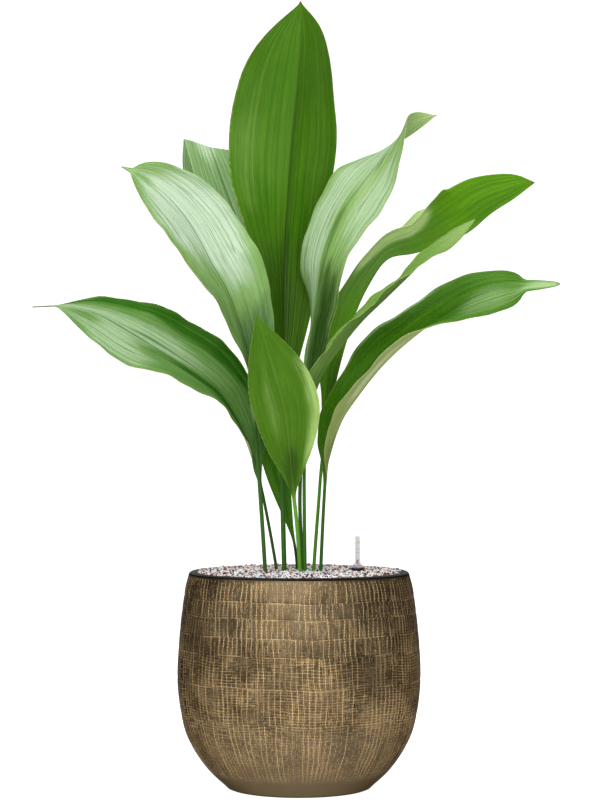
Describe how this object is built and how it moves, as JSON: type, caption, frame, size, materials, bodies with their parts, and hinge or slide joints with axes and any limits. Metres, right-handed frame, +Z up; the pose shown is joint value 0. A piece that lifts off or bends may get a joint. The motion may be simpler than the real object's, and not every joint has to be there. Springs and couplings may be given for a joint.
{
  "type": "potted cast iron plant",
  "caption": "Cast iron plant with broad arching leaves on slim stems, in a round bellied bronze-finished pot filled with mineral substrate, with a water-level gauge.",
  "frame": {"origin": "centre of the pot's foot, on the surface that it stands on", "axes": "+Z up, -Y towards the front that the picture shows, +X to its right, where the gauge stands"},
  "size_m": [0.5961, 0.3656, 0.9171],
  "materials": {
    "pot": "satin",
    "substrate": "matte",
    "leaf_mid": "satin",
    "leaf_dark": "satin",
    "leaf_pale": "satin",
    "leaf_bright": "satin",
    "gauge_tube": "satin",
    "gauge_head": "gloss",
    "gauge_float": "matte",
    "gauge_pointer": "gloss"
  },
  "bodies": {
    "planter": {"pot": "pot", "substrate": "substrate", "leaf_tall": "leaf_mid", "leaf_left_low": "leaf_dark", "leaf_left_high": "leaf_pale", "leaf_back_left": "leaf_pale", "leaf_right_high": "leaf_pale", "leaf_right_fold": "leaf_bright", "leaf_right_edge": "leaf_bright", "leaf_right_low": "leaf_dark", "leaf_front": "leaf_bright", "leaf_young": "leaf_mid", "gauge_tube": "gauge_tube", "gauge_head": "gauge_head"},
    "float": {"gauge_float": "gauge_float", "gauge_pointer": "gauge_pointer"}
  },
  "joints": [
    {"name": "float_rise", "type": "slide", "parent": "planter", "child": "float", "axis": [0, 0, 1], "range_m": [0, 0.022]}
  ]
}
